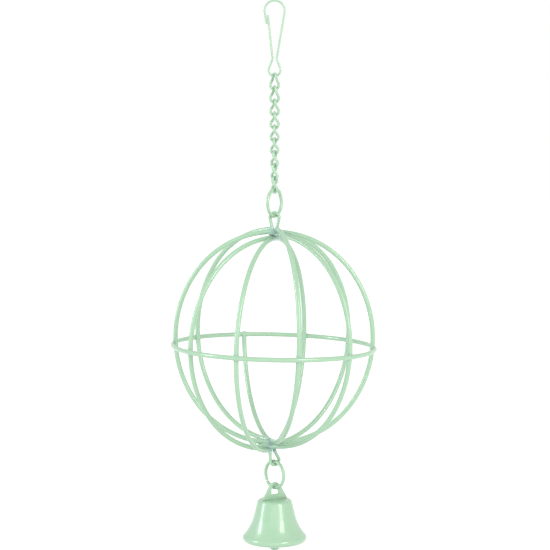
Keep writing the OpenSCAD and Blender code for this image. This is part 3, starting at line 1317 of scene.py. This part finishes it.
    def hanger_loops(self) -> list[Outline]:
        """Lays the outlines of the stamped hanger.

        Returns:
            The outer edge, the window and the hole, each as closed points across and up from the crown.
        """
        top_z = self.height - self.top_r
        reach = math.hypot(self.base / 2, top_z - self.shoulder)
        touch = math.acos(self.top_r / reach) - math.atan2(top_z - self.shoulder, self.base / 2)
        touch = math.degrees(touch)
        hole = self.hole_z - self.crown_z
        half = self.hole_r + self.rim
        under = -self.wall - self.slot_gap

        def curve(z: float, radius: float, start: float, end: float, steps: int) -> Outline:
            """Returns points along an arc about a point of the hanger's middle line."""
            angles = [math.radians(start + (end - start) * i / steps) for i in range(steps + 1)]
            return [(radius * math.cos(a), z + radius * math.sin(a)) for a in angles]

        right = [(half, 0.0), (self.base / 2, 0.0), (self.base / 2, self.shoulder)]
        over = curve(top_z, self.top_r, touch, 180.0 - touch, steps=28)
        left = [(-self.base / 2, self.shoulder), (-self.base / 2, 0.0), (-half, 0.0)]
        barb_left = [(-half, under), (-half - self.barb, under - self.barb), (-half, under - self.barb)]
        round_end = curve(hole, half, 180.0, 360.0, steps=24)
        barb_right = [(half, under - self.barb), (half + self.barb, under - self.barb), (half, under)]
        outer = [*right, *over, *left, *barb_left, *round_end, *barb_right]

        bend = self.window_w / 2
        window = curve(self.height - self.window_bar - bend, bend, 0.0, 180.0, steps=20)
        window += [(-bend, self.window_sill), (bend, self.window_sill)]
        return [outer, window, curve(hole, self.hole_r, 0.0, 360.0, steps=24)[:-1]]

    def hanger(self) -> bmesh.types.BMesh:
        """Stamps the hanger out of sheet and rounds its edges.

        Returns:
            The hanger in metres.
        """
        mesh = bmesh.new()
        edges = []
        for loop in self.hanger_loops():
            verts = [mesh.verts.new((x * MM, self.sheet / 2 * MM, z * MM)) for x, z in loop]
            edges += [mesh.edges.new(pair) for pair in pairwise([*verts, verts[0]])]
        filled = bmesh.ops.triangle_fill(mesh, use_beauty=True, edges=edges)["geom"]
        faces = [part for part in filled if isinstance(part, bmesh.types.BMFace)]
        back = bmesh.ops.extrude_face_region(mesh, geom=faces)["geom"]
        moved = [part for part in back if isinstance(part, bmesh.types.BMVert)]
        bmesh.ops.translate(mesh, vec=(0.0, -self.sheet * MM, 0.0), verts=moved)
        bmesh.ops.recalc_face_normals(mesh, faces=mesh.faces)
        sharp, level, flat = math.radians(60.0), 1e-7, 0.999
        rims = [e for e in mesh.edges if e.is_manifold and e.calc_face_angle() > sharp]
        rims = [e for e in rims if abs(e.verts[0].co.y - e.verts[1].co.y) < level]
        bmesh.ops.bevel(
            mesh,
            geom=rims,
            offset=self.edge_r * MM,
            affect="EDGES",
            segments=3,
            profile=0.5,
            material=-1,
            clamp_overlap=True,
        )
        rounded(mesh)
        for face in mesh.faces:
            face.smooth = abs(face.normal.y) < flat
        spin = Matrix.Rotation(math.radians(self.hanger_turn), 4, "Z")
        bmesh.ops.transform(mesh, matrix=Matrix.Translation(self.crown_z * MM * UP) @ spin, verts=mesh.verts)
        return mesh

    def clapper(self) -> Wire:
        """Makes the clapper's wire.

        Returns:
            The wire, from its peened head under the ball, up and round its eye.
        """
        loop_top = self.hole_z - self.hole_r + self.clapper_wire / 2 + self.clapper_gap
        loop = Vector((0.0, 0.0, loop_top - self.clapper_loop_r))
        foot = Vector((0.0, 0.0, self.ball_z - self.ball_d / 2 - self.peen_h))
        across = yaw(self.hanger_turn + 90.0)
        eye = arc(loop, across, self.clapper_loop_r, -90.0, self.clapper_loop_end, step=0.2)
        return Wire("clapper_wire", joined(straight(foot, eye[0], step=0.25), eye), self.clapper_wire)

    def clapper_ball(self) -> bmesh.types.BMesh:
        """Turns the clapper's ball, with its drilled bore and the peened head under it.

        Returns:
            The ball in metres.
        """
        radius, bore, head = self.ball_d / 2, self.clapper_wire / 2, self.peen_d / 2
        mouth = bore * self.bore_flare
        profile = [(r, radius - depth) for r, depth in zip((bore, mouth), self.bore_depths)]
        start, end, steps = math.asin(mouth / radius), math.pi - math.asin(head / radius), 32
        angles = [start + (end - start) * i / steps for i in range(steps + 1)]
        profile += [(radius * math.sin(a), radius * math.cos(a)) for a in angles]
        low = -radius - self.peen_h
        profile += [(head * share, low + height) for share, height in self.peen_outline]
        mesh = spun([(r, self.ball_z + z) for r, z in profile], steps=48, merge=0.005)
        bmesh.ops.edgeloop_fill(mesh, edges=[e for e in mesh.edges if e.is_boundary])
        return rounded(mesh)

    def build(self, shop: Workshop) -> None:
        """Makes the shell, the hanger and the clapper.

        Args:
            shop: Where the pieces are made.
        """
        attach(shop.piece("bell_wall", self.shell(), "bell_shell"), "bell")
        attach(shop.piece("hanger_sheet", self.hanger(), "bell_hanger"), "bell")
        shop.wire(self.clapper(), "clapper", "clapper_rod")
        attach(shop.piece("clapper_bob", self.clapper_ball(), "clapper_ball"), "clapper")


@dataclass(frozen=True)
class Softbox:
    """A soft light: where it stands, what it faces, its size, strength and colour."""

    name: str
    at: tuple[float, float, float]
    faces: tuple[float, float, float]
    size: tuple[float, float]
    watts: float
    tint: Colour = (1.0, 1.0, 1.0)

    def build(self) -> None:
        """Puts the light in the scene."""
        light = bpy.data.lights.new(self.name, "AREA")
        light.shape = "RECTANGLE"
        light.size, light.size_y = self.size
        light.energy = self.watts
        light.color = self.tint
        made = bpy.data.objects.new(self.name, light)
        made.location = self.at
        way = Vector(self.faces) - Vector(self.at)
        made.rotation_euler = way.to_track_quat("-Z", "Y").to_euler()
        made.visible_camera = False
        bpy.context.scene.collection.objects.link(made)


@dataclass
class Studio:
    """The camera, the lights and the white floor, in metres.

    Attributes:
        lens: The camera's focal length, in millimetres.
        sensor: Width of its sensor, in millimetres.
        camera_at: Where the camera stands.
        camera_down: How far it looks down, in degrees.
        sky: Strength of the white light all round.
        floor_z: Height of the floor.
        floor_half: Half the floor's width.
        lights: The soft lights.
    """

    lens: float = 111.8
    sensor: float = 36.0
    camera_at: tuple[float, float, float] = (0.0002, -0.84, -0.0572)
    camera_down: float = 4.9
    sky: float = 1.0
    floor_z: float = -0.42
    floor_half: float = 8.0
    lights: tuple[Softbox, ...] = (
        Softbox(
            "left_strip",
            at=(-0.99, -0.229, 0.17),
            faces=(0.0, 0.0, -0.25),
            size=(0.22, 0.56),
            watts=5.2,
            tint=(0.94, 0.98, 1.0),
        ),
        Softbox(
            "right_strip",
            at=(0.603, -0.772, 0.25),
            faces=(0.0, 0.0, -0.25),
            size=(0.34, 0.54),
            watts=6.0,
            tint=(1.0, 0.97, 0.93),
        ),
        Softbox("front_fill", at=(0.0, -1.5, -0.1), faces=(0.0, 0.0, -0.16), size=(1.2, 1.2), watts=3.5),
    )

    def build(self) -> None:
        """Sets up the camera, the lights, the sky and the floor."""
        scene = bpy.context.scene
        view = bpy.data.cameras.new("camera")
        view.lens, view.sensor_width, view.sensor_fit = self.lens, self.sensor, "HORIZONTAL"
        view.dof.use_dof = False
        camera = bpy.data.objects.new("camera", view)
        camera.location = self.camera_at
        camera.rotation_euler = (math.radians(90.0 - self.camera_down), 0.0, 0.0)
        scene.collection.objects.link(camera)
        scene.camera = camera
        for light in self.lights:
            light.build()
        sky = bpy.data.worlds.new("sky")
        sky.use_nodes = True
        sky.node_tree.nodes["Background"].inputs["Color"].default_value = (1.0, 1.0, 1.0, 1.0)
        sky.node_tree.nodes["Background"].inputs["Strength"].default_value = self.sky
        scene.world = sky
        scene.view_settings.view_transform = "Standard"
        self._floor()

    def _floor(self) -> None:
        """Lays the white floor under the object."""
        mesh = bmesh.new()
        bmesh.ops.create_grid(mesh, x_segments=8, y_segments=8, size=self.floor_half)
        bmesh.ops.translate(mesh, vec=(0.0, 0.0, self.floor_z), verts=mesh.verts)
        data = bpy.data.meshes.new("floor")
        mesh.to_mesh(data)
        mesh.free()
        data.materials.append(PAPER.material())
        floor = bpy.data.objects.new("floor", data)
        bpy.context.scene.collection.objects.link(floor)


def main() -> None:
    """Builds the studio and every piece, from the hook down to the clapper."""
    logging.basicConfig(level=logging.INFO, format="%(name)s: %(message)s")
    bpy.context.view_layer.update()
    Studio().build()
    shop = Workshop(MINT.material())

    hook = SnapHook()
    chain = TwistChain(hook.hold)
    upper = SplitRing("upper_ring", chain.hold, turn=59.0, split_at=40.0)
    ball = WireBall(upper.hold)
    lower = SplitRing("lower_ring", ball.hold, turn=-47.0, split_at=215.0)
    bell = Bell(lower.hold)
    for assembly in (hook, chain, upper, ball, lower, bell):
        assembly.build(shop)


if __name__ == "__main__":
    main()
